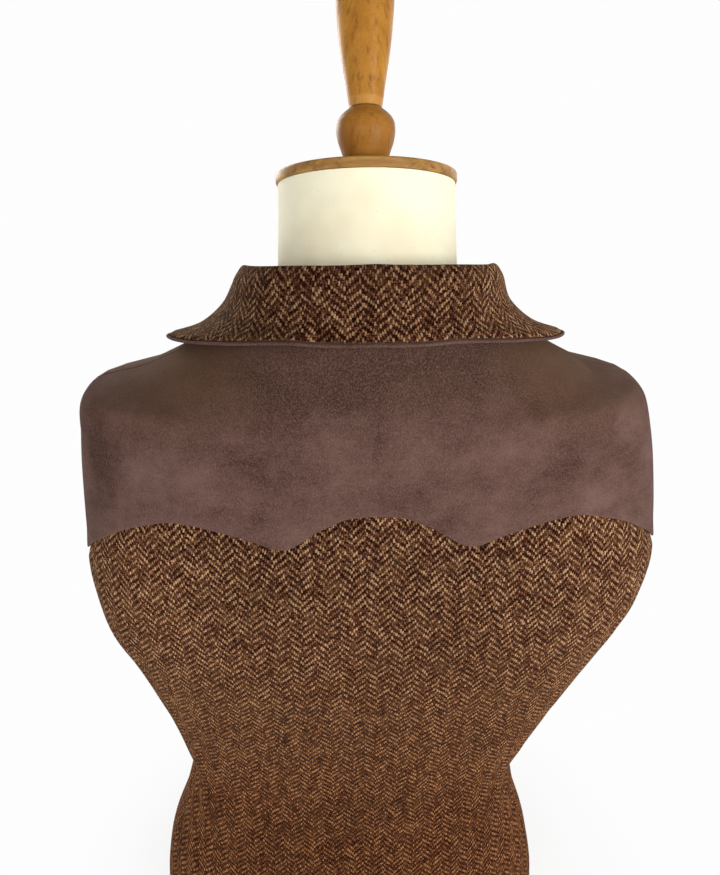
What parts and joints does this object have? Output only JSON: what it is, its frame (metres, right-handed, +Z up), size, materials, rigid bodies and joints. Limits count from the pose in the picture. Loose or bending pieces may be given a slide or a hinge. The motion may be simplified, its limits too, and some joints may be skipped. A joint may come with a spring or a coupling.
{
  "type": "western vest on a dress form",
  "caption": "Sleeveless western vest with a scalloped suede yoke and a turned-down collar, worn on a limbless dress form with a wooden cap and finial.",
  "frame": {"origin": "on the table, at the middle of the bounding box's underside, under the form's base board", "axes": "+Z up, the vest's back faces +Y and its closed front faces -Y, and the wearer's left is +X"},
  "size_m": [0.4541, 0.2328, 0.9859],
  "materials": {
    "tweed": "brown and tan herringbone wool tweed, rough",
    "suede": "brown suede with a soft brushed nap",
    "horn": "dark brown horn-like buttons",
    "canvas": "cream cotton canvas, stretched smooth",
    "timber": "turned beech with a golden stain and satin varnish"
  },
  "bodies": {
    "root": {"back_panel": "tweed", "back_yoke": "suede", "front_panel_left": "tweed", "front_panel_right": "tweed", "front_yoke_left": "suede", "front_yoke_right": "suede", "collar_top": "tweed", "collar_under": "suede", "button_1": "horn", "button_2": "horn", "button_3": "horn", "button_4": "horn", "button_5": "horn", "form_torso": "canvas", "form_cap": "timber", "form_finial": "timber", "form_board": "timber"}
  },
  "joints": []
}
